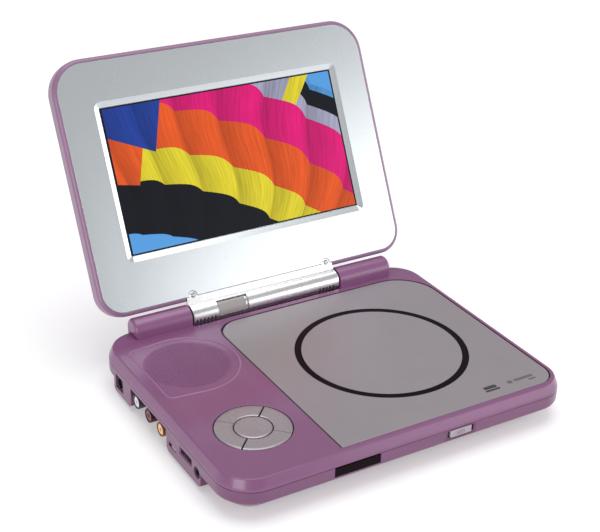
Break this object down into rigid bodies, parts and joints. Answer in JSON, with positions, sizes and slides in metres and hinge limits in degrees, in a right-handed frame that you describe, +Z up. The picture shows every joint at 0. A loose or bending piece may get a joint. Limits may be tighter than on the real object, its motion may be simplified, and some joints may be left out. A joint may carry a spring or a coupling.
{
  "type": "portable disc player",
  "caption": "Fold-open portable disc player: shallow rounded base with a flush disc door, a round key pad and a speaker, and a widescreen lid on a friction hinge.",
  "frame": {"origin": "under the middle of the player's footprint, on the surface it stands on, with the lid open as at rest", "axes": "+X to the right seen from the front, +Y to the back, +Z up"},
  "size_m": [0.212, 0.2392, 0.1679],
  "materials": {
    "base_purple": "satin",
    "lid_purple": "satin",
    "grille_purple": "matte",
    "bezel_silver": "satin",
    "barrel_silver": "satin",
    "barrel_window": "gloss",
    "door_silver": "satin",
    "key_silver": "satin",
    "screen": "gloss",
    "ring_dark": "gloss",
    "bay_plastic": "matte",
    "black_plastic": "matte",
    "ir_plastic": "gloss",
    "jack_white": "gloss",
    "jack_red": "gloss",
    "jack_yellow": "gloss",
    "steel": "brushed",
    "screw_steel": "polished",
    "circuit_board": "matte",
    "battery_wrap": "matte",
    "lens_glass": "polished",
    "rubber": "matte"
  },
  "bodies": {
    "base": {"base_upper_case": "base_purple", "base_lower_case": "base_purple", "hinge_cover_left": "base_purple", "hinge_cover_right": "base_purple", "speaker_grille": "grille_purple", "main_board": "circuit_board", "key_board": "circuit_board", "disc_bay": "bay_plastic", "ir_window": "ir_plastic", "ir_receiver": "black_plastic", "dc_jack": "black_plastic", "phone_jack": "black_plastic", "rca_white": "jack_white", "rca_red": "jack_red", "rca_yellow": "jack_yellow", "speaker_driver": "black_plastic", "battery_pack": "battery_wrap", "drive_chassis": "steel", "spindle_motor": "steel", "feed_motor": "steel", "rail_left": "steel", "rail_right": "steel", "hinge_shaft_left": "steel", "hinge_shaft_right": "steel", "foot_1": "rubber", "case_screw_1": "screw_steel", "foot_2": "rubber", "case_screw_2": "screw_steel", "foot_3": "rubber", "case_screw_3": "screw_steel", "foot_4": "rubber", "case_screw_4": "screw_steel", "damper_1": "rubber", "damper_2": "rubber", "damper_3": "rubber"},
    "lid": {"lid_rear_cover": "lid_purple", "lid_bezel": "bezel_silver", "screen_window": "screen", "lcd_panel": "steel", "lcd_board": "circuit_board", "backlight_inverter": "circuit_board", "hinge_barrel": "barrel_silver", "barrel_window": "barrel_window", "ear_screw_left": "screw_steel", "ear_screw_right": "screw_steel"},
    "disc_door": {"disc_door": "door_silver", "door_ring": "ring_dark"},
    "open_button": {"open_button": "key_silver"},
    "turntable": {"turntable": "black_plastic"},
    "pickup": {"pickup_sled": "black_plastic", "pickup_lens": "lens_glass"},
    "lead_screw": {"lead_screw": "steel"},
    "power_switch": {"power_switch": "key_silver"},
    "volume_wheel": {"volume_wheel": "black_plastic"},
    "key_up": {"key_up": "key_silver"},
    "key_down": {"key_down": "key_silver"},
    "key_left": {"key_left": "key_silver"},
    "key_right": {"key_right": "key_silver"},
    "key_enter": {"key_enter": "key_silver"}
  },
  "joints": [
    {"name": "lid_hinge", "type": "hinge", "parent": "base", "child": "lid", "pos_m": [0, 0.04071, 0.027], "axis": [1, 0, 0], "range_deg": [-30, 116.7]},
    {"name": "door_hinge", "type": "hinge", "parent": "base", "child": "disc_door", "pos_m": [0.0304, 0.02771, 0.0237], "axis": [1, 0, 0], "range_deg": [-60, 0]},
    {"name": "open_button_press", "type": "slide", "parent": "base", "child": "open_button", "axis": [0, 1, 0], "range_m": [0, 0.0012], "stiffness_N_per_m": 600, "springref_m": -0.0005},
    {"name": "key_up_press", "type": "slide", "parent": "base", "child": "key_up", "axis": [0, 0, -1], "range_m": [0, 0.0004], "stiffness_N_per_m": 800, "springref_m": -0.0005},
    {"name": "key_down_press", "type": "slide", "parent": "base", "child": "key_down", "axis": [0, 0, -1], "range_m": [0, 0.0004], "stiffness_N_per_m": 800, "springref_m": -0.0005},
    {"name": "key_left_press", "type": "slide", "parent": "base", "child": "key_left", "axis": [0, 0, -1], "range_m": [0, 0.0004], "stiffness_N_per_m": 800, "springref_m": -0.0005},
    {"name": "key_right_press", "type": "slide", "parent": "base", "child": "key_right", "axis": [0, 0, -1], "range_m": [0, 0.0004], "stiffness_N_per_m": 800, "springref_m": -0.0005},
    {"name": "key_enter_press", "type": "slide", "parent": "base", "child": "key_enter", "axis": [0, 0, -1], "range_m": [0, 0.0004], "stiffness_N_per_m": 800, "springref_m": -0.0005},
    {"name": "power_switch_slide", "type": "slide", "parent": "base", "child": "power_switch", "axis": [0, 1, 0], "range_m": [0, 0.0025]},
    {"name": "volume_wheel_turn", "type": "hinge", "parent": "base", "child": "volume_wheel", "pos_m": [-0.0975, -0.06729, 0.012], "axis": [0, 0, 1], "range_deg": [-140, 140]},
    {"name": "turntable_spin", "type": "hinge", "parent": "base", "child": "turntable", "pos_m": [0.0307, -0.04259, 0.018], "axis": [0, 0, 1], "continuous": true},
    {"name": "pickup_slide", "type": "slide", "parent": "base", "child": "pickup", "axis": [0, 1, 0], "range_m": [-0.0145, 0.0165]},
    {"name": "lead_screw_turn", "type": "hinge", "parent": "base", "child": "lead_screw", "pos_m": [0.0514, -0.08059, 0.0094], "axis": [0, 1, 0], "range_deg": [-1760, 2000]}
  ],
  "couplings": [
    {"joint": "lead_screw_turn", "follows": "pickup_slide", "rad_per_m": 2094.4}
  ]
}
